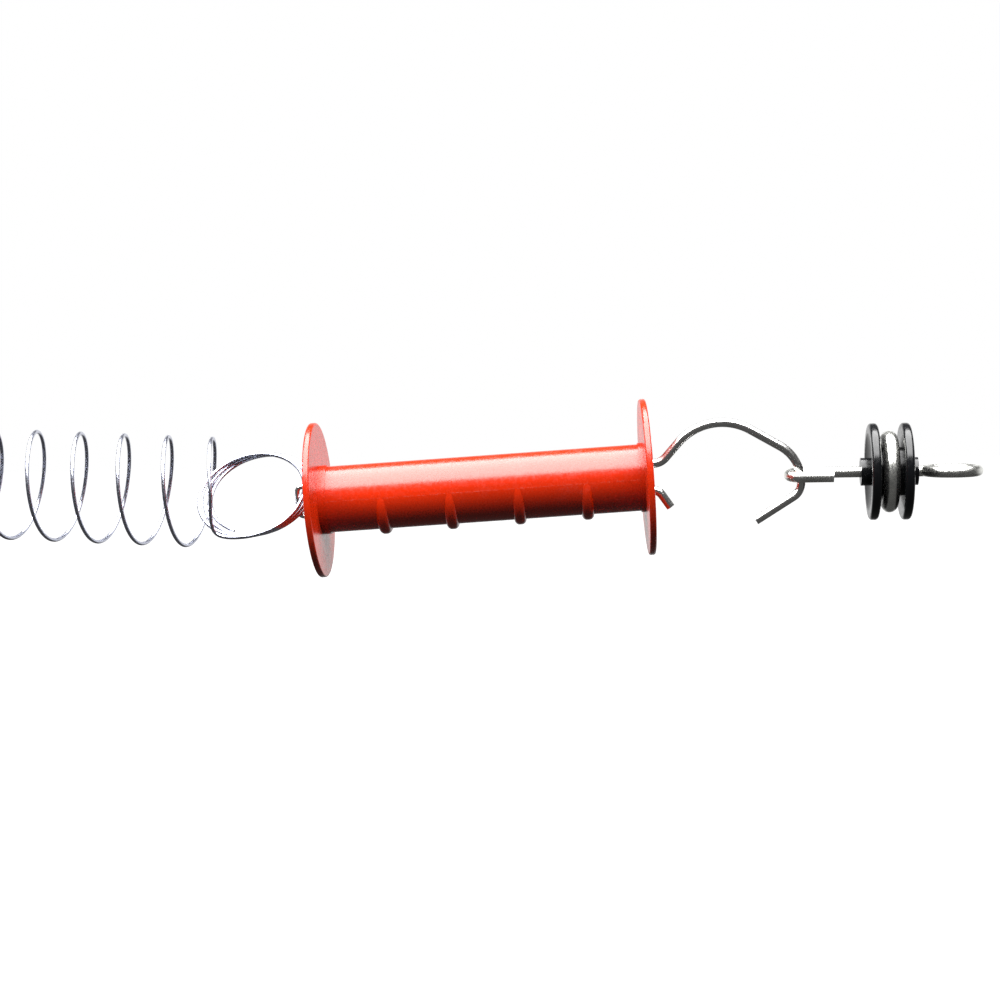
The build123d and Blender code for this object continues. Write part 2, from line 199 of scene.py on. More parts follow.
def open_group(
    name: str, kind: str, inputs: dict[str, tuple[str, Any]], outputs: dict[str, str]
) -> tuple[Bench, Any, Any]:
    """Starts a node group with named sockets.

    Args:
        name: Name of the group.
        kind: Tree type, for shaders or geometry.
        inputs: Socket type and default by name; a default of None is left alone.
        outputs: Socket type by name.

    Returns:
        The bench, the group's input node and its output node.
    """
    tree = bpy.data.node_groups.new(name, kind)
    for label, (socket_type, default) in inputs.items():
        socket = tree.interface.new_socket(name=label, in_out="INPUT", socket_type=socket_type)
        if default is not None:
            socket.default_value = default
    for label, socket_type in outputs.items():
        tree.interface.new_socket(name=label, in_out="OUTPUT", socket_type=socket_type)
    bench = Bench(tree)
    return bench, bench.add("NodeGroupInput"), bench.add("NodeGroupOutput")


FLOAT, WHOLE, SHAPE, PAINT = "NodeSocketFloat", "NodeSocketInt", "NodeSocketGeometry", "NodeSocketMaterial"


def geometry_tree(name: str, inputs: dict[str, tuple[str, Any]]) -> tuple[Bench, Any, Any]:
    """Starts a Geometry Nodes tree with named sizes.

    Args:
        name: Name of the tree.
        inputs: Socket type and default by name, besides the geometry and the material.

    Returns:
        The bench, the input node and the output node.
    """
    sockets = {"Route": (SHAPE, None), **inputs, "Material": (PAINT, None)}
    return open_group(name, "GeometryNodeTree", sockets, {"Geometry": SHAPE})


def finish_tree(bench: Bench, entry: Any, leave: Any, shape: Any) -> bpy.types.NodeTree:
    """Ends a Geometry Nodes tree.

    Args:
        bench: The tree's bench.
        entry: Its input node.
        leave: Its output node.
        shape: The geometry socket to hand out.

    Returns:
        The finished tree.
    """
    smooth = bench.add("GeometryNodeSetShadeSmooth", {"Geometry": shape}).outputs[0]
    real = bench.add("GeometryNodeRealizeInstances", {"Geometry": smooth}).outputs[0]
    dressed = bench.add("GeometryNodeSetMaterial", {"Geometry": real, "Material": entry.outputs["Material"]})
    bench.tree.links.new(dressed.outputs[0], leave.inputs[0])
    return bench.tree


def sweep_wire(bench: Bench, entry: Any, curve: Any) -> Any:
    """Sweeps a round wire along a curve, its cut ends chamfered, with its length stored for the finish.

    Args:
        bench: The tree's bench.
        entry: Input node with Wire Diameter, Sides and Chamfer.
        curve: The curve socket.

    Returns:
        The swept mesh's socket.
    """
    run = bench.add("GeometryNodeSplineParameter").outputs["Length"]
    total = bench.add("GeometryNodeCurveLength", {"Curve": curve}).outputs[0]
    to_end = bench.math("MINIMUM", run, bench.math("SUBTRACT", total, run))
    chamfer = bench.math("MAXIMUM", entry.outputs["Chamfer"], MERGE)
    narrowest = 0.8
    grown = bench.math("DIVIDE", to_end, chamfer, clamp=True)
    scale = bench.math("MULTIPLY_ADD", grown, 1.0 - narrowest, narrowest)
    marked = bench.add(
        "GeometryNodeStoreNamedAttribute",
        {"Geometry": curve, "Name": "along", "Value": run},
        data_type="FLOAT", domain="POINT",
    ).outputs[0]
    radius = bench.math("MULTIPLY", entry.outputs["Wire Diameter"], 0.5)
    ring = bench.add(
        "GeometryNodeCurvePrimitiveCircle", {"Resolution": entry.outputs["Sides"], "Radius": radius}
    )
    around = bench.add("GeometryNodeSplineParameter").outputs["Factor"]
    profile = bench.add(
        "GeometryNodeStoreNamedAttribute",
        {"Geometry": ring.outputs[0], "Name": "around", "Value": around},
        data_type="FLOAT", domain="POINT",
    ).outputs[0]
    inputs = {"Curve": marked, "Profile Curve": profile, "Scale": scale, "Fill Caps": True}
    return bench.add("GeometryNodeCurveToMesh", inputs).outputs[0]


def routed_wire_tree() -> bpy.types.NodeTree:
    """Builds the tree that draws a wire along a routed chain of edges, and returns it."""
    sizes = {
        "Wire Diameter": (FLOAT, 0.0015), "Sides": (WHOLE, 14), "Chamfer": (FLOAT, 0.0),
        "Step": (FLOAT, 0.001),
    }
    bench, entry, leave = geometry_tree("Wire Along Route", sizes)
    curve = bench.add("GeometryNodeMeshToCurve", {"Mesh": entry.outputs["Route"]}).outputs[0]
    step = {"Curve": curve, "Length": entry.outputs["Step"]}
    even = bench.add("GeometryNodeResampleCurve", step, mode="LENGTH").outputs[0]
    return finish_tree(bench, entry, leave, sweep_wire(bench, entry, even))


def coil_tree() -> bpy.types.NodeTree:
    """Builds the tree of a helical coil, its first and last turns closed up, and returns it.

    The coil stands on its own Z axis from zero, and its start is turned to Start Angle.
    """
    sizes = {
        "Wire Diameter": (FLOAT, 0.0015), "Sides": (WHOLE, 14), "Chamfer": (FLOAT, 0.0),
        "Turns": (FLOAT, 7.0), "Coil Radius": (FLOAT, 0.02), "Length": (FLOAT, 0.1),
        "Start Angle": (FLOAT, 0.0), "Points Per Turn": (WHOLE, 96), "Closed Turns": (FLOAT, 0.0),
    }
    bench, entry, leave = geometry_tree("Coil", sizes)
    ask = entry.outputs
    spiral = bench.add(
        "GeometryNodeCurveSpiral",
        {"Resolution": ask["Points Per Turn"], "Rotations": ask["Turns"], "Start Radius": ask["Coil Radius"],
         "End Radius": ask["Coil Radius"], "Height": ask["Length"], "Reverse": True},
    ).outputs[0]
    spot = bench.add("ShaderNodeSeparateXYZ", {0: bench.add("GeometryNodeInputPosition").outputs[0]}).outputs
    turn = bench.math("MULTIPLY", bench.math("DIVIDE", spot["Z"], ask["Length"]), ask["Turns"])
    closed = bench.math("MAXIMUM", ask["Closed Turns"], MERGE)
    wire = ask["Wire Diameter"]
    # A closed turn climbs one wire; the open turns between share the rest of the length.
    from_start = bench.math("MINIMUM", turn, closed)
    last = bench.math("SUBTRACT", ask["Turns"], closed)
    from_end = bench.math("MAXIMUM", bench.math("SUBTRACT", turn, last), 0.0)
    both_closed = bench.math("MULTIPLY", closed, 2.0)
    open_turns = bench.math("SUBTRACT", ask["Turns"], both_closed)
    open_length = bench.math("SUBTRACT", ask["Length"], bench.math("MULTIPLY", both_closed, wire))
    between = bench.math("SUBTRACT", bench.math("SUBTRACT", turn, from_start), from_end)
    climbed = bench.math("MULTIPLY", between, bench.math("DIVIDE", open_length, open_turns))
    height = bench.math("MULTIPLY_ADD", bench.math("ADD", from_start, from_end), wire, climbed)
    use_height = bench.math("GREATER_THAN", ask["Closed Turns"], 0.0)
    heights = {0: use_height, 2: spot["Z"], 3: height}
    settled = bench.add("ShaderNodeMix", heights, data_type="FLOAT").outputs[0]
    place = bench.add("ShaderNodeCombineXYZ", {"X": spot["X"], "Y": spot["Y"], "Z": settled}).outputs[0]
    shaped = bench.add("GeometryNodeSetPosition", {"Geometry": spiral, "Position": place}).outputs[0]
    turned = bench.add("GeometryNodeTransform", {"Geometry": shaped})
    angles = bench.add("ShaderNodeCombineXYZ", {"Z": ask["Start Angle"]}).outputs[0]
    bench.tree.links.new(angles, turned.inputs["Rotation"])
    return finish_tree(bench, entry, leave, sweep_wire(bench, entry, turned.outputs[0]))


def wood_screw_tree() -> bpy.types.NodeTree:
    """Builds the tree of a screw shank on Y: neck, shank, helical thread and gimlet point, and returns it."""
    sizes = {
        "Start": (FLOAT, -0.0094), "Neck Step": (FLOAT, 0.0002), "Neck Taper": (FLOAT, 0.0015),
        "Shank Radius": (FLOAT, 0.003),
        "Shank Length": (FLOAT, 0.012), "Core Radius": (FLOAT, 0.0022), "Pitch": (FLOAT, 0.0026),
        "End": (FLOAT, 0.0448), "Tip Length": (FLOAT, 0.006), "Segments": (WHOLE, 49), "Rows": (WHOLE, 321),
    }
    bench, entry, leave = geometry_tree("Wood Screw", sizes)
    ask, maths = entry.outputs, bench.math
    grid = bench.add(
        "GeometryNodeMeshGrid",
        {"Size X": 1.0, "Size Y": 1.0, "Vertices X": ask["Segments"], "Vertices Y": ask["Rows"]},
    ).outputs[0]
    spot = bench.add("ShaderNodeSeparateXYZ", {0: bench.add("GeometryNodeInputPosition").outputs[0]}).outputs
    around = maths("ADD", spot["X"], 0.5)
    share = maths("ADD", spot["Y"], 0.5)
    along = maths("MULTIPLY_ADD", share, maths("SUBTRACT", ask["End"], ask["Start"]), ask["Start"])
    past = maths("SUBTRACT", along, ask["Shank Length"])
    # Within one pitch: a flat root, the long flank, the short flank. The whole turns added keep it positive.
    root_end, long_flank, short_flank, whole_turns = 0.52, 0.3, 0.16, 8.0
    turned = maths("SUBTRACT", maths("DIVIDE", past, ask["Pitch"]), around)
    phase = maths("FRACT", maths("ADD", turned, whole_turns))
    rise = maths("DIVIDE", maths("SUBTRACT", phase, root_end), long_flank, clamp=True)
    fall = maths("DIVIDE", maths("SUBTRACT", 1.0, phase), short_flank, clamp=True)
    flank = maths("MINIMUM", rise, fall)
    depth = maths("SUBTRACT", ask["Shank Radius"], ask["Core Radius"])
    run_in = maths("DIVIDE", past, ask["Pitch"], clamp=True)
    tip = maths("MULTIPLY", ask["Tip Length"], 1.15)
    run_out = maths("DIVIDE", maths("SUBTRACT", ask["End"], along), tip, clamp=True)
    thread = maths("MULTIPLY", maths("MULTIPLY", flank, run_in), depth)
    shoulder = maths("SUBTRACT", 1.0, maths("DIVIDE", past, depth), clamp=True)
    core = maths("MULTIPLY_ADD", shoulder, depth, ask["Core Radius"])
    threaded = maths("MAXIMUM", core, maths("ADD", ask["Core Radius"], thread))
    body = maths("MULTIPLY", threaded, run_out)
    in_wood = maths("GREATER_THAN", along, -1e-5)
    swell = maths("DIVIDE", maths("SUBTRACT", along, ask["Start"]), ask["Neck Taper"], clamp=True)
    neck = maths("MULTIPLY", maths("MULTIPLY", maths("SUBTRACT", 1.0, in_wood), swell), ask["Neck Step"])
    radius = maths("ADD", body, neck)
    angle = maths("MULTIPLY", around, math.tau)
    place = bench.add(
        "ShaderNodeCombineXYZ",
        {"X": maths("MULTIPLY", radius, maths("COSINE", angle)), "Y": along,
         "Z": maths("MULTIPLY", radius, maths("SINE", angle))},
    ).outputs[0]
    wrapped = bench.add("GeometryNodeSetPosition", {"Geometry": grid, "Position": place}).outputs[0]
    sewn = bench.add("GeometryNodeMergeByDistance", {"Geometry": wrapped, "Distance": MERGE}).outputs[0]
    return finish_tree(bench, entry, leave, sewn)


def grow(
    name: str, tree: bpy.types.NodeTree, sizes: dict[str, Any], route: Sequence[Vector] = ()
) -> bpy.types.Object:
    """Runs a Geometry Nodes tree and keeps its result as a plain mesh.

    Args:
        name: Name of the piece.
        tree: The tree to run.
        sizes: Values of the tree's named inputs.
        route: Points for the tree's Route input.

    Returns:
        The piece, at the origin.
    """
    mesh = bpy.data.meshes.new(name)
    mesh.from_pydata([tuple(p) for p in route], [(i, i + 1) for i in range(len(route) - 1)], [])
    host = bpy.data.objects.new(name + "_host", mesh)
    bpy.context.scene.collection.objects.link(host)
    modifier = host.modifiers.new("Shape", "NODES")
    modifier.node_group = tree
    for item in tree.interface.items_tree:
        if item.in_out == "INPUT" and item.name in sizes:
            modifier[item.identifier] = sizes[item.name]
    seen = bpy.context.evaluated_depsgraph_get()
    made = bpy.data.meshes.new_from_object(
        host.evaluated_get(seen), preserve_all_data_layers=True, depsgraph=seen
    )
    bpy.data.objects.remove(host)
    made.name = name
    piece = bpy.data.objects.new(name, made)
    bpy.context.scene.collection.objects.link(piece)
    return piece


def settle(piece: bpy.types.Object, slot: Slot, body: Body, *nodes: str) -> bpy.types.Object:
    """Gives a finished piece its body, and lets it stand for CAD nodes.

    Args:
        piece: The piece, its mesh final.
        slot: The record's material slot; not used.
        body: The body that it rides on.
        nodes: CAD nodes that it replaces.

    Returns:
        The piece.
    """
    if nodes:
        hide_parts(*nodes)
    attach(piece, body.value)
    log.info("built %s: %d faces on %s", piece.name, len(piece.data.polygons), body.value)
    return piece


# ---------------------------------------------------------------------------------------------
# Finishes


def dust_group() -> bpy.types.NodeTree:
    """Builds the shared group for fine dust that settles on surfaces facing up, and returns it."""
    bench, entry, leave = open_group(
        "Settled Dust", "ShaderNodeTree",
        {"Scale": (FLOAT, 900.0), "Amount": (FLOAT, 0.2)},
        {"Mask": FLOAT},
    )
    spot = bench.add("ShaderNodeTexCoord").outputs["Object"]
    normal = bench.add("ShaderNodeNewGeometry").outputs["Normal"]
    upward = bench.ramp(bench.add("ShaderNodeSeparateXYZ", {0: normal}).outputs["Z"], 0.2, 1.0)
    specks = bench.ramp(bench.noise(spot, entry.outputs["Scale"], 4.0, 0.7), 0.52, 0.75)
    cloud = bench.ramp(bench.noise(spot, 60.0, 2.0), 0.35, 0.7)
    share = bench.math("MULTIPLY", bench.math("MULTIPLY", specks, cloud), upward)
    return bench.hand_out(leave, Mask=bench.math("MULTIPLY", share, entry.outputs["Amount"]))


def scratch_group() -> bpy.types.NodeTree:
    """Builds the shared group for hairline handling scratches, and returns it."""
    bench, entry, leave = open_group(
        "Handling Scratches", "ShaderNodeTree",
        {"Scale": (FLOAT, 140.0), "Amount": (FLOAT, 0.5)},
        {"Mask": FLOAT},
    )
    spot = bench.add("ShaderNodeTexCoord").outputs["Object"]
    lines: Any = 0.0
    for stretch in ((1.0, 0.06, 0.4), (0.08, 1.0, 0.7), (0.5, 0.07, 1.0)):
        stretched = bench.stretched(spot, stretch)
        grain = bench.noise(stretched, bench.math("MULTIPLY", entry.outputs["Scale"], 9.0), 1.0)
        near = bench.math("ABSOLUTE", bench.math("SUBTRACT", grain, 0.5))
        lines = bench.math("MAXIMUM", lines, bench.ramp(near, 0.006, 0.0))
    gaps = bench.ramp(bench.noise(spot, entry.outputs["Scale"], 1.0), 0.56, 0.68)
    share = bench.math("MULTIPLY", bench.math("MULTIPLY", lines, gaps), entry.outputs["Amount"])
    return bench.hand_out(leave, Mask=share)


def moulded_group() -> bpy.types.NodeTree:
    """Builds the shared group for a moulded skin, wavy with fine peel and a drifting tone, and returns it."""
    bench, entry, leave = open_group(
        "Moulded Skin", "ShaderNodeTree",
        {"Peel Scale": (FLOAT, 700.0), "Wave Scale": (FLOAT, 60.0)},
        {"Height": FLOAT, "Tone": FLOAT, "Gloss": FLOAT},
    )
    spot = bench.add("ShaderNodeTexCoord").outputs["Object"]
    wave = bench.noise(spot, entry.outputs["Wave Scale"], 1.0)
    peel = bench.noise(spot, entry.outputs["Peel Scale"], 3.0, 0.6)
    height = bench.math("MULTIPLY_ADD", peel, 0.03, wave)
    flow = bench.noise(bench.stretched(spot, (0.35, 1.0, 1.0)), 42.0, 4.0, 0.6)
    return bench.hand_out(
        leave, Height=height, Tone=bench.ramp(flow, 0.3, 0.72), Gloss=bench.ramp(peel, 0.35, 0.68)
    )


def plated_group() -> bpy.types.NodeTree:
    """Builds the shared group for plated steel: clouded tone, fine grain and pits, and returns it."""
    bench, entry, leave = open_group(
        "Plated Skin", "ShaderNodeTree",
        {"Grain Scale": (FLOAT, 1500.0), "Cloud Scale": (FLOAT, 130.0)},
        {"Height": FLOAT, "Cloud": FLOAT, "Grain": FLOAT, "Pits": FLOAT},
    )
    spot = bench.add("ShaderNodeTexCoord").outputs["Object"]
    grain = bench.noise(spot, entry.outputs["Grain Scale"], 3.0, 0.65)
    cloud = bench.ramp(bench.noise(spot, entry.outputs["Cloud Scale"], 3.0, 0.55), 0.32, 0.7)
    cell_scale = bench.math("MULTIPLY", entry.outputs["Grain Scale"], 0.45)
    cells = bench.add("ShaderNodeTexVoronoi", {"Vector": spot, "Scale": cell_scale})
    pits = bench.ramp(cells.outputs["Distance"], 0.16, 0.05)
    thin = bench.math("MULTIPLY", pits, bench.ramp(cloud, 0.55, 0.95))
    return bench.hand_out(
        leave, Height=bench.math("SUBTRACT", grain, thin), Cloud=cloud, Grain=grain, Pits=thin
    )


def drawn_group() -> bpy.types.NodeTree:
    """Builds the shared group for the die lines of drawn wire, along its stored run, and returns it."""
    bench, entry, leave = open_group(
        "Drawn Wire", "ShaderNodeTree",
        {"Lines": (FLOAT, 46.0), "Run": (FLOAT, 90.0)},
        {"Height": FLOAT, "Tone": FLOAT},
    )
    along = bench.add("ShaderNodeAttribute", attribute_name="along").outputs["Fac"]
    turn = bench.add("ShaderNodeAttribute", attribute_name="around").outputs["Fac"]
    around = bench.math("MULTIPLY", turn, math.tau)
    vector = bench.add(
        "ShaderNodeCombineXYZ",
        {"X": bench.math("MULTIPLY", bench.math("COSINE", around), entry.outputs["Lines"]),
         "Y": bench.math("MULTIPLY", bench.math("SINE", around), entry.outputs["Lines"]),
         "Z": bench.math("MULTIPLY", along, entry.outputs["Run"])},
    ).outputs[0]
    lines = bench.noise(vector, 0.35, 3.0, 0.6)
    return bench.hand_out(leave, Height=lines, Tone=bench.ramp(lines, 0.3, 0.72))


@dataclass
class GroupShelf:
    """Keeps each shared node group, built once."""

    made: dict[str, bpy.types.NodeTree] = field(default_factory=dict)

    def take(self, maker: Callable[[], bpy.types.NodeTree]) -> bpy.types.NodeTree:
        """Returns the group of a maker function, built at its first use."""
        if maker.__name__ not in self.made:
            self.made[maker.__name__] = maker()
        return self.made[maker.__name__]


@dataclass(frozen=True)
class Finish:
    """A procedural finish: tones, gloss and how much handling it shows."""

    slot: Slot
    colour: tuple[float, float, float]
    roughness: float
    dust: float = 0.1
    scratches: float = 0.3

    def material(self, shelf: GroupShelf) -> bpy.types.Material:
        """Builds the finish.

        Args:
            shelf: Where the shared groups are kept.

        Returns:
            The material.
        """
        made = bpy.data.materials.new(self.slot.value + "_finish")
        made.use_nodes = True
        bench = Bench(made.node_tree)
        shader = made.node_tree.nodes["Principled BSDF"]
        self.wire(bench, shader, shelf)
        made.diffuse_color = (*self.colour, 1.0)
        return made

    def tone(self, share: float) -> tuple[float, float, float, float]:
        """Returns the colour scaled by share, as a socket value."""
        return (*(channel * share for channel in self.colour), 1.0)

    def group(self, bench: Bench, tree: bpy.types.NodeTree, **values: float) -> Any:
        """Places a shared group with its values and returns its outputs."""
        inputs = {key.replace("_", " "): value for key, value in values.items()}
        return bench.add("ShaderNodeGroup", inputs, node_tree=tree).outputs

    def wire(self, bench: Bench, shader: bpy.types.Node, shelf: GroupShelf) -> None:
        """Wires the finish's pattern into the shader."""
        raise NotImplementedError

    def join(
        self, bench: Bench, shader: bpy.types.Node, colour: Any, gloss: Any, height: Any, depth: float
    ) -> None:
        """Wires colour, roughness and bump into the shader.

        Args:
            bench: The material's bench.
            shader: Its Principled BSDF.
            colour: Colour socket.
            gloss: Roughness socket.
            height: Height socket.
            depth: Bump distance in metres.
        """
        bump = bench.add("ShaderNodeBump", {"Strength": 1.0, "Distance": depth, "Height": height}).outputs[0]
        for value, name in ((colour, "Base Color"), (gloss, "Roughness"), (bump, "Normal")):
            bench.tree.links.new(value, shader.inputs[name])


@dataclass(frozen=True)
class GlossPlastic(Finish):
    """Glossy moulded plastic."""

    specular: float = 0.5
    coat: float = 0.0
    wave_depth: float = 0.00006

    def wire(self, bench: Bench, shader: bpy.types.Node, shelf: GroupShelf) -> None:
        """Wires the moulded skin, scratches and dust."""
        skin = self.group(bench, shelf.take(moulded_group), Peel_Scale=700.0, Wave_Scale=60.0)
        dust = self.group(bench, shelf.take(dust_group), Scale=1100.0, Amount=self.dust)["Mask"]
        marks = self.group(bench, shelf.take(scratch_group), Scale=120.0, Amount=self.scratches)["Mask"]
        plain = bench.mix(skin["Tone"], self.tone(0.9), self.tone(1.08))
        pale = (*(0.5 + 0.5 * channel for channel in self.colour), 1.0)
        scuffed = bench.mix(bench.math("MULTIPLY", marks, 0.25), plain, pale)
        colour = bench.mix(dust, scuffed, (0.62, 0.58, 0.54, 1.0))
        gloss = bench.ramp(skin["Gloss"], 0.0, 1.0, self.roughness * 0.86, self.roughness * 1.16)
        gloss = bench.math("MULTIPLY_ADD", bench.math("MAXIMUM", marks, dust), 0.25, gloss)
        height = bench.math("MULTIPLY_ADD", marks, -0.06, skin["Height"])
        self.join(bench, shader, colour, gloss, height, self.wave_depth)
        shader.inputs["Specular IOR Level"].default_value = self.specular
        shader.inputs["Coat Weight"].default_value = self.coat
        shader.inputs["Coat Roughness"].default_value = 0.06


@dataclass(frozen=True)
class PlatedSteel(Finish):
    """Zinc-plated or bright steel, with the die lines of the wire where its run is stored."""

    cloud: float = 0.75
    tint: tuple[float, float, float] = (0.55, 0.56, 0.6)
    grain_depth: float = 0.00001
    drawn: bool = False

    def wire(self, bench: Bench, shader: bpy.types.Node, shelf: GroupShelf) -> None:
        """Wires the plated skin, die lines, scratches and dust."""
        skin = self.group(bench, shelf.take(plated_group), Grain_Scale=1500.0, Cloud_Scale=150.0)
        dust = self.group(bench, shelf.take(dust_group), Scale=1600.0, Amount=self.dust)["Mask"]
        marks = self.group(bench, shelf.take(scratch_group), Scale=220.0, Amount=self.scratches)["Mask"]
        plain = bench.mix(skin["Cloud"], self.tone(self.cloud), self.tone(1.0))
        plain = bench.mix(bench.math("MULTIPLY", skin["Pits"], 0.6), plain, (*self.tint, 1.0))
        height: Any = skin["Height"]
        if self.drawn:
            lines = self.group(bench, shelf.take(drawn_group), Lines=46.0, Run=90.0)
            shade = bench.mix(lines["Tone"], self.tone(0.8), self.tone(1.0))
            plain = bench.mix(0.5, plain, shade)
            height = bench.math("MULTIPLY_ADD", lines["Height"], 1.5, height)
        colour = bench.mix(dust, plain, (0.5, 0.47, 0.43, 1.0))
        gloss = bench.ramp(skin["Grain"], 0.3, 0.7, self.roughness * 0.8, self.roughness * 1.25)
        gloss = bench.math("MULTIPLY_ADD", bench.math("MAXIMUM", marks, dust), 0.2, gloss)
        self.join(bench, shader, colour, gloss, height, self.grain_depth)
        shader.inputs["Metallic"].default_value = 1.0


@dataclass
class Paints:
    """The finishes of the whole object, by slot."""

    shelf: GroupShelf = field(default_factory=GroupShelf)
    made: dict[Slot, bpy.types.Material] = field(default_factory=dict)

    finishes: ClassVar[tuple[Finish, ...]] = (
        PlatedSteel(Slot.ZINC, (0.86, 0.86, 0.82), 0.28, dust=0.03, grain_depth=0.000003),
        PlatedSteel(Slot.HOOK, (0.88, 0.87, 0.85), 0.2, dust=0.02, cloud=0.86, grain_depth=0.000002),
        PlatedSteel(
            Slot.SPRING, (0.56, 0.58, 0.68), 0.25, dust=0.01, cloud=0.84, grain_depth=0.000002, drawn=True
        ),
        GlossPlastic(Slot.ORANGE, (0.37, 0.0128, 0.0), 0.26, dust=0.01, scratches=0.3, specular=0.48),
        GlossPlastic(Slot.BLACK, (0.0022, 0.0024, 0.003), 0.22, dust=0.01, scratches=0.3, specular=0.36),
    )

    def of(self, slot: Slot) -> bpy.types.Material:
        """Returns the material of a slot, built at its first use."""
        if slot not in self.made:
            finish = next(f for f in self.finishes if f.slot is slot)
            self.made[slot] = finish.material(self.shelf)
        return self.made[slot]


# ---------------------------------------------------------------------------------------------
# Sub-assemblies


@dataclass
class SubAssembly:
    """Solids that share a purpose, with the sizes that their added pieces need."""

    frame: dict[str, Any]
    paints: Paints

    def dress(self, slot: Slot, *nodes: str) -> None:
        """Gives CAD nodes the finish of a slot."""
        for name in nodes:
            materials = self.frame["nodes"][name].data.materials
            materials.clear()
            materials.append(self.paints.of(slot))
            log.info("dressed %s with %s", name, slot.value)

    def joint(self, name: str) -> dict[str, Any]:
        """Returns a joint of the record by name."""
        return next(j for j in self.frame["joints"] if j["name"] == name)

    def centre(self, node: str) -> Vector:
        """Returns the middle of a CAD node's box."""
        low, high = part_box(node)
        return (low + high) / 2

    def build(self) -> None:
        """Builds and dresses the sub-assembly."""
        raise NotImplementedError


@dataclass
class PostAnchor(SubAssembly):
    """Screw eye in the post and the reel held in its ring."""

    screw_wire: float = 6.0 * MM
    ring_outside: float = 31.2 * MM
    neck_step: float = 0.23 * MM
    neck_taper: float = 1.5 * MM
    plain_shank: float = 12.0 * MM
    thread_core: float = 4.4 * MM
    thread_pitch: float = 2.6 * MM
    screw_tip: float = 6.0 * MM

    def build(self) -> None:
        """Builds the screw eye and dresses the reel."""
        self.dress(Slot.BLACK, "reel_left_half", "reel_right_half")
        settle(self.screw_eye(), Slot.ZINC, Body.ANCHOR, "screw_eye")

    def screw_eye(self) -> bpy.types.Object:
        """Builds the closed ring fused with the shank and its true helical thread.

        Returns:
            The piece.
        """
        wire = self.screw_wire / 2
        ring_radius = self.ring_outside / 2 - wire
        centre = Vector(self.joint("rod_swivel")["pos_m"])
        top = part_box("screw_eye")[1].y
        paint = self.paints.of(Slot.ZINC)
        screw = grow("screw_eye_piece", wood_screw_tree(), {
            "Start": centre.y + ring_radius, "Neck Step": self.neck_step, "Neck Taper": self.neck_taper,
            "Shank Radius": wire,
            "Shank Length": self.plain_shank, "Core Radius": self.thread_core / 2, "Pitch": self.thread_pitch,
            "End": top, "Tip Length": self.screw_tip, "Segments": 49, "Rows": 361, "Material": paint,
        })
        close_ends(screw.data)
        ring = torus("screw_ring", centre, ring_radius, wire)
        fuse(screw, ring, paint)
        return screw


@dataclass
class AnchorRod(SubAssembly):
    """Rod through the reel, with the open loop and the closed eye."""

    def build(self) -> None:
        """Dresses the rod."""
        self.dress(Slot.ZINC, "anchor_rod")


@dataclass
class Drawbar(SubAssembly):
    """Hook wire, its follower and the spring round its legs."""

    coil_wire: float = 1.8 * MM
    coil_outside: float = 18.4 * MM
    coil_turns: float = 12.0
    coil_length: float = 66.0 * MM
    closed_turns: float = 1.0
    seat_gap: float = 0.05 * MM
    seat_thickness: float = 1.2 * MM

    def build(self) -> None:
        """Dresses the hook and builds its spring."""
        self.dress(Slot.HOOK, "hook_drawbar")
        self.dress(Slot.ZINC, "spring_follower")
        forward = -Vector(self.joint("handle_draw")["axis"]).normalized()
        draw = self.joint("handle_draw")["range_m"][1]
        seat = self.centre("front_spring_seat")
        rear = seat - forward * (self.seat_thickness / 2 + self.seat_gap + self.coil_length)
        spring = grow("drawbar_spring_piece", coil_tree(), {
            "Wire Diameter": self.coil_wire, "Sides": 14, "Turns": self.coil_turns,
            "Coil Radius": (self.coil_outside - self.coil_wire) / 2,
            "Length": self.coil_length - self.coil_wire, "Points Per Turn": 48,
            "Closed Turns": self.closed_turns, "Chamfer": self.coil_wire,
            "Material": self.paints.of(Slot.SPRING),
        })
        lie = forward.to_track_quat("Z", "Y").to_matrix().to_4x4()
        spring.data.transform(Matrix.Translation(rear + forward * self.coil_wire / 2) @ lie)
        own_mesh(spring)
        settle(spring, Slot.SPRING, Body.DRAWBAR, "drawbar_spring")


@dataclass
class Grip(SubAssembly):
    """Ribbed tube, its rear cap, and the staple behind it."""

    length: float = 128.6 * MM
    diameter: float = 25.5 * MM
    flange_thickness: float = 2.5 * MM
    collar_length: float = 3.0 * MM
    seat_depth: float = 4.15 * MM
    flash: float = 0.06 * MM
    flash_sunk: float = 0.3

    def build(self) -> None:
        """Dresses the grip and adds the moulding flash."""
        self.dress(Slot.ORANGE, "grip_tube", "rear_cap")
        self.dress(Slot.HOOK, "rear_eye")
        self.dress(Slot.ZINC, "eye_backing_plate", "front_spring_seat")
        self.mould_flash()

    def axes(self) -> tuple[Vector, Vector, Vector]:
        """Returns the middle of the front face and the forward and crosswise directions."""
        forward = -Vector(self.joint("handle_draw")["axis"]).normalized()
        front = self.centre("front_spring_seat") + forward * self.seat_depth
        return front, forward, Vector((0.0, 0.0, 1.0)).cross(forward).normalized()

    def mould_flash(self) -> None:
        """Builds the fine flash where the mould's halves met, along both sides of the tube."""
        front, forward, across = self.axes()
        tree = routed_wire_tree()
        sizes = {
            "Wire Diameter": self.flash, "Sides": 8, "Chamfer": 0.0, "Step": 1.0 * MM,
            "Material": self.paints.of(Slot.ORANGE),
        }
        start, end = self.flange_thickness, self.length - self.flange_thickness - self.collar_length
        for label, side in (("front", -1.0), ("back", 1.0)):
            off = across * side * (self.diameter / 2 - self.flash * self.flash_sunk)
            route = [front - forward * at + off for at in (start, end)]
            settle(grow("grip_flash_" + label, tree, sizes, route), Slot.ORANGE, Body.GRIP)


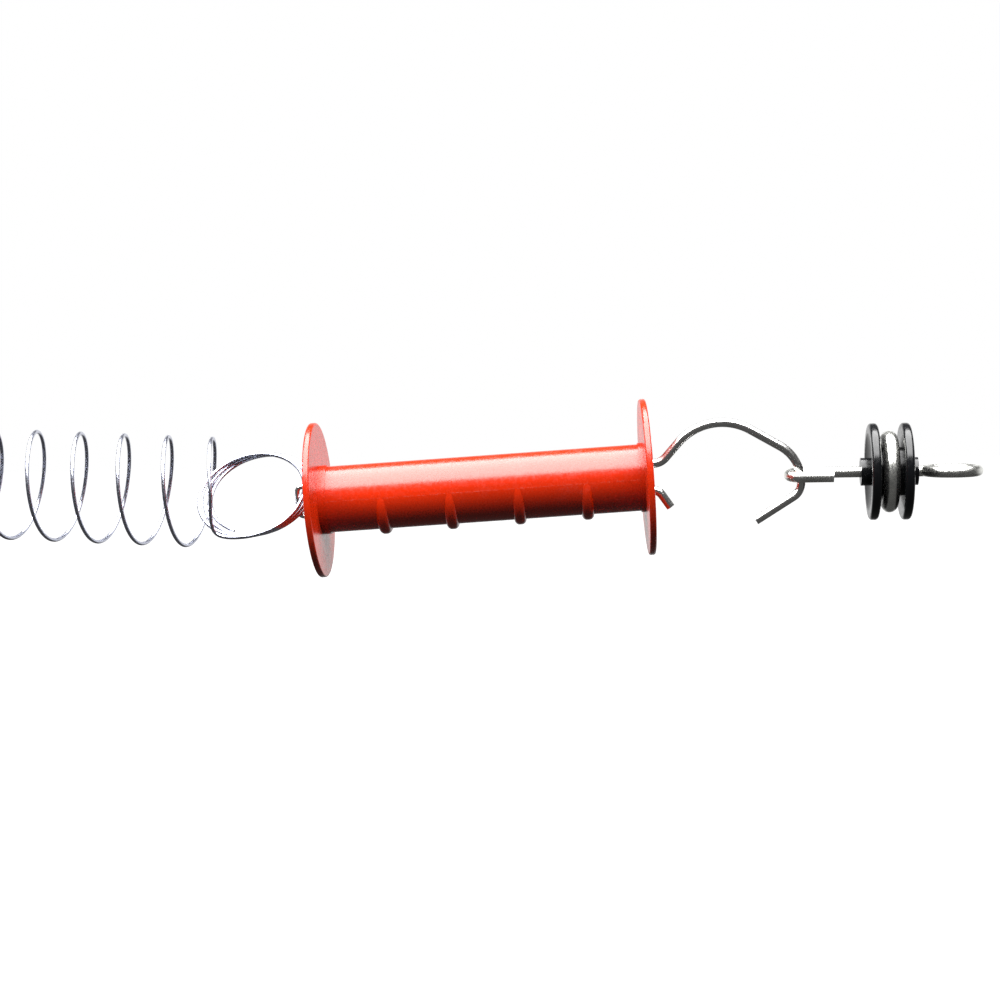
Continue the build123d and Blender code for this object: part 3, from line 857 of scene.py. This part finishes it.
@dataclass
class GateSpring(SubAssembly):
    """Open coil with a ring of close turns at each end."""

    wire: float = 1.5 * MM
    outside: float = 43.6 * MM
    pitch: float = 17.3 * MM
    turns: int = 7
    ring_turns: float = 3.0
    ring_step: float = 2.15 * MM
    ring_shrink: float = 0.3 * MM
    ring_shift: float = 1.25 * MM
    ring_tilt: float = math.radians(46.0)
    ring_rise: float = math.radians(10.0)
    ring_lead: float = 17.6 * MM
    ring_start: float = -122.0
    join_lean: float = 0.5 * MM
    join_width: float = 0.98
    swing: float = math.radians(6.0)
    radius: float = field(init=False)
    half: float = field(init=False)
    place: Matrix = field(init=False)

    def __post_init__(self) -> None:
        """Works out the coil's radius and half length from its sizes."""
        self.radius = (self.outside - self.wire) / 2
        self.half = self.turns * self.pitch / 2

    def build(self) -> None:
        """Builds the coil and both end rings."""
        along = Vector(self.joint("gate_spring_stretch")["axis"]).normalized()
        sideways = Vector((-math.sin(self.swing), math.cos(self.swing), 0.0))
        mounts = self.frame["record"]["mounts"]
        far_ring = next(mount for mount in mounts if mount["name"] == "far_anchor_ring")
        middle = Vector(far_ring["pos_m"]) + along * (self.half + self.ring_lead)
        axes = Matrix((along, sideways, along.cross(sideways))).transposed().to_4x4()
        self.place = Matrix.Translation(middle) @ axes
        half_turn = Matrix.Rotation(math.pi, 4, "Z")
        self.coil(along, middle)
        tree = routed_wire_tree()
        for node, body, turn in (
            ("gate_spring_end_ring", Body.GATE_SPRING, Matrix.Identity(4)),
            ("gate_spring_far_ring", Body.FAR_RING, half_turn),
        ):
            ring = grow(node + "_piece", tree, {
                "Wire Diameter": self.wire, "Sides": 16, "Chamfer": self.wire * 0.4, "Step": 0.8 * MM,
                "Material": self.paints.of(Slot.SPRING),
            }, self.ring_route())
            ring.data.transform(self.place @ turn)
            settle(ring, Slot.SPRING, body, node)

    def coil(self, along: Vector, middle: Vector) -> None:
        """Builds the open coil.

        Args:
            along: Direction of the spring; not used.
            middle: Middle of the coil; not used.
        """
        length = 2 * self.half
        travel = self.joint("gate_spring_stretch")["range_m"][1]
        spring = grow("gate_spring_coil_piece", coil_tree(), {
            "Wire Diameter": self.wire, "Sides": 16, "Turns": float(self.turns),
            "Coil Radius": self.radius, "Length": length, "Points Per Turn": 84, "Closed Turns": 0.0,
            "Chamfer": 0.0,
            "Start Angle": -math.pi * (0.5 + self.turns),
            "Material": self.paints.of(Slot.SPRING),
        })
        # The tree's coil stands on Z; the spring lies along X and starts half its length back.
        lie = Matrix(((0, 0, 1, -self.half), (1, 0, 0, 0), (0, 1, 0, 0), (0, 0, 0, 1)))
        spring.data.transform(self.place @ lie)
        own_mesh(spring)
        settle(spring, Slot.SPRING, Body.GATE_SPRING, "gate_spring_coil")

    def coil_point(self, along: float) -> Vector:
        """Returns a point of the open coil in the spring's own frame."""
        angle = math.radians(-90.0) + math.tau * along / self.pitch
        return Vector((along, self.radius * math.cos(angle), self.radius * math.sin(angle)))

    def ring_point(self, degrees: float) -> Vector:
        """Returns a point of the end ring, whose turns lie behind one another and shrink a little."""
        angle = math.radians(degrees)
        turns = (degrees - self.ring_start) / 360.0 - self.ring_turns / 2
        across = Vector((math.cos(self.ring_rise), 0.0, math.sin(self.ring_rise)))
        upward = Vector((
            -math.sin(self.ring_rise) * math.cos(self.ring_tilt),
            math.sin(self.ring_tilt),
            math.cos(self.ring_rise) * math.cos(self.ring_tilt),
        ))
        radius = self.radius - self.ring_shrink * turns
        around = (across * math.cos(angle) + upward * math.sin(angle)) * radius
        shift = Vector((self.ring_shift + self.ring_shrink, self.ring_step, 0.0)) * turns
        return Vector((self.half + self.ring_lead, 0.0, 0.0)) + around + shift

    def ring_route(self) -> list[Vector]:
        """Returns the route from the coil's end round the ring, smoothed between its stations."""
        twelfth = self.pitch / 12
        first, join = self.coil_point(self.half + twelfth), self.ring_point(self.ring_start)
        half_way = (first + join) / 2
        half_way.x += self.join_lean
        half_way.y = -self.radius * self.join_width
        stations = [self.coil_point(self.half - twelfth), self.coil_point(self.half), first, half_way]
        steps = int(self.ring_turns * 12) + 1
        stations += [self.ring_point(self.ring_start + 30.0 * step) for step in range(steps)]
        return smooth_route(stations, 10)


# ---------------------------------------------------------------------------------------------
# Mesh helpers


def smooth_route(stations: Sequence[Vector], parts: int) -> list[Vector]:
    """Runs a smooth line through stations; the first only sets the direction at the second.

    Args:
        stations: Points to pass through.
        parts: Divisions between neighbouring stations.

    Returns:
        The points of the line.
    """
    gaps = [(b - a).length for a, b in zip(stations, stations[1:])]
    slopes = []
    for i in range(len(stations)):
        if 0 < i < len(stations) - 1:
            before = (stations[i] - stations[i - 1]) / gaps[i - 1]
            after = (stations[i + 1] - stations[i]) / gaps[i]
            slopes.append((before * gaps[i] + after * gaps[i - 1]) / (gaps[i - 1] + gaps[i]))
        else:
            edge = min(i, len(gaps) - 1)
            slopes.append((stations[edge + 1] - stations[edge]) / gaps[edge])
    points = [stations[1].copy()]
    for i in range(1, len(stations) - 1):
        for part in range(1, parts + 1):
            t = part / parts
            start, end = stations[i], stations[i + 1]
            points.append(
                start * (2 * t**3 - 3 * t**2 + 1) + slopes[i] * gaps[i] * (t**3 - 2 * t**2 + t)
                + end * (3 * t**2 - 2 * t**3) + slopes[i + 1] * gaps[i] * (t**3 - t**2)
            )
    return points


def close_ends(mesh: bpy.types.Mesh) -> None:
    """Caps open ends, merges doubles and turns the faces outwards."""
    work = bmesh.new()
    work.from_mesh(mesh)
    bmesh.ops.remove_doubles(work, verts=work.verts, dist=MERGE)
    bmesh.ops.holes_fill(work, edges=[e for e in work.edges if e.is_boundary], sides=0)
    bmesh.ops.dissolve_degenerate(work, edges=work.edges, dist=MERGE / 10)
    bmesh.ops.recalc_face_normals(work, faces=work.faces)
    work.to_mesh(mesh)
    work.free()


def torus(name: str, centre: Vector, ring_radius: float, wire_radius: float) -> bpy.types.Object:
    """Builds a closed ring round X.

    Args:
        name: Name of the object.
        centre: Middle of the ring.
        ring_radius: Radius of the wire's centreline.
        wire_radius: Radius of the wire.

    Returns:
        The ring.
    """
    stations, sides = SWEEP_STATIONS, SWEEP_SIDES
    points, faces = [], []
    for station in range(stations):
        turn = math.tau * station / stations
        out = Vector((0.0, math.cos(turn), math.sin(turn)))
        for side in range(sides):
            angle = math.tau * side / sides
            sideways = Vector((wire_radius * math.sin(angle), 0.0, 0.0))
            points.append(centre + out * (ring_radius + wire_radius * math.cos(angle)) + sideways)
            row, next_row, over = station * sides, (station + 1) % stations * sides, (side + 1) % sides
            faces.append((row + side, next_row + side, next_row + over, row + over))
    mesh = bpy.data.meshes.new(name)
    mesh.from_pydata(points, [], faces)
    piece = bpy.data.objects.new(name, mesh)
    bpy.context.scene.collection.objects.link(piece)
    return piece


def fuse(piece: bpy.types.Object, other: bpy.types.Object, material: bpy.types.Material) -> None:
    """Fuses another closed mesh into a piece, and removes the other.

    Args:
        piece: The piece that stays.
        other: The mesh that joins it.
        material: Finish of the whole.
    """
    for thing in (piece, other):
        close_ends(thing.data)
    modifier = piece.modifiers.new("Fuse", "BOOLEAN")
    modifier.operation, modifier.solver, modifier.object = "UNION", "EXACT", other
    seen = bpy.context.evaluated_depsgraph_get()
    made = bpy.data.meshes.new_from_object(piece.evaluated_get(seen), depsgraph=seen)
    piece.modifiers.clear()
    piece.data = made
    bpy.data.objects.remove(other)
    close_ends(made)
    made.materials.clear()
    made.materials.append(material)
    for face in made.polygons:
        face.use_smooth, face.material_index = True, 0
    made.set_sharp_from_angle(angle=SHARP_ANGLE)


# ---------------------------------------------------------------------------------------------
# Studio


@dataclass
class Studio:
    """Pale floor, soft overhead light, white backdrop and the camera."""

    floor_drop: float = 0.30
    floor_half: float = 6.0
    floor_glow: float = 0.95
    key_power: float = 74.0
    key_size: tuple[float, float] = (1.2, 1.45)
    key_distance: float = 0.75
    key_elevation: float = math.radians(78.0)
    backdrop: float = 1.0
    room: float = 0.08
    camera_place: tuple[float, float, float] = (-0.06262, -0.61828, 0.03846)
    camera_view: tuple[float, float, float] = (-0.1439112, 0.9864754, -0.0784591)
    camera_up: tuple[float, float, float] = (0.0128536, 0.0811411, 0.9966197)
    lens: float = 55.15

    def build(self) -> None:
        """Builds the camera, lights, world and floor."""
        scene = bpy.context.scene
        scene.view_settings.view_transform = "Standard"
        scene.view_settings.look = "None"
        self.camera(scene)
        self.key_light(scene)
        self.world(scene)
        self.floor(scene)

    def camera(self, scene: bpy.types.Scene) -> None:
        """Places the camera."""
        view, up = Vector(self.camera_view).normalized(), Vector(self.camera_up).normalized()
        right = view.cross(up).normalized()
        data = bpy.data.cameras.new("camera")
        data.lens, data.sensor_width, data.sensor_fit = self.lens, 36.0, "HORIZONTAL"
        data.clip_start, data.clip_end = 0.01, 50.0
        camera = bpy.data.objects.new("camera", data)
        turn = Matrix((right, right.cross(view), -view)).transposed().to_4x4()
        camera.matrix_world = Matrix.Translation(Vector(self.camera_place)) @ turn
        scene.collection.objects.link(camera)
        scene.camera = camera

    def key_light(self, scene: bpy.types.Scene) -> None:
        """Hangs the soft box over the handle, a little to the front."""
        low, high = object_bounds()
        centre = (low + high) / 2
        toward = Vector((0.0, -math.cos(self.key_elevation), math.sin(self.key_elevation)))
        data = bpy.data.lights.new("soft_box", "AREA")
        data.shape, data.size, data.size_y, data.energy = "RECTANGLE", *self.key_size, self.key_power
        light = bpy.data.objects.new("soft_box", data)
        turn = toward.to_track_quat("Z", "X").to_matrix().to_4x4()
        light.matrix_world = Matrix.Translation(centre + toward * self.key_distance) @ turn
        scene.collection.objects.link(light)

    def world(self, scene: bpy.types.Scene) -> None:
        """Makes the room: white low behind the object and where the camera looks, dim elsewhere."""
        world = bpy.data.worlds.new("room")
        world.use_nodes = True
        scene.world = world
        world.node_tree.nodes.clear()
        bench = Bench(world.node_tree)
        toward = bench.add("ShaderNodeTexCoord").outputs["Generated"]
        spot = bench.add("ShaderNodeSeparateXYZ", {0: toward}).outputs
        behind = bench.ramp(spot["Y"], 0.05, 0.5)
        above_floor = bench.ramp(spot["Z"], -0.55, -0.2)
        below_top = bench.ramp(spot["Z"], 0.45, 0.25)
        wall = bench.math("MULTIPLY", bench.math("MULTIPLY", behind, above_floor), below_top)
        level = bench.math("MULTIPLY_ADD", wall, self.backdrop - self.room, self.room)
        seen = bench.add("ShaderNodeLightPath").outputs["Is Camera Ray"]
        strength = bench.math("MAXIMUM", level, seen)
        shade = bench.add("ShaderNodeBackground", {"Color": (1.0, 1.0, 1.0, 1.0), "Strength": strength})
        out = bench.add("ShaderNodeOutputWorld")
        bench.tree.links.new(shade.outputs[0], out.inputs[0])

    def floor(self, scene: bpy.types.Scene) -> None:
        """Lays the pale floor, which gives no light back."""
        low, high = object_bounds()
        height, half = low.z - self.floor_drop, self.floor_half
        mesh = bpy.data.meshes.new("floor")
        corners = [(-half, -half, height), (half, -half, height), (half, half, height), (-half, half, height)]
        mesh.from_pydata(corners, [], [(0, 1, 2, 3)])
        floor = bpy.data.objects.new("floor", mesh)
        scene.collection.objects.link(floor)
        pale = bpy.data.materials.new("pale_floor")
        pale.use_nodes = True
        bench = Bench(pale.node_tree)
        shader = pale.node_tree.nodes["Principled BSDF"]
        spot = bench.add("ShaderNodeTexCoord").outputs["Object"]
        tone = bench.mix(bench.noise(spot, 3.0, 3.0), (0.86, 0.86, 0.86, 1.0), (0.9, 0.9, 0.9, 1.0))
        bench.tree.links.new(tone, shader.inputs["Base Color"])
        shader.inputs["Roughness"].default_value = 0.9
        shader.inputs["Emission Color"].default_value = (1.0, 1.0, 1.0, 1.0)
        shader.inputs["Emission Strength"].default_value = self.floor_glow
        mesh.materials.append(pale)
        floor.visible_glossy = floor.visible_diffuse = False
        floor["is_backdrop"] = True


def main() -> None:
    """Builds the whole visual model in order."""
    logging.basicConfig(level=logging.INFO, format="%(name)s: %(message)s")
    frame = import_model()
    paints = Paints()
    for part in (PostAnchor, AnchorRod, Drawbar, Grip, GateSpring):
        part(frame, paints).build()
    Studio().build()


if __name__ == "__main__":
    main()
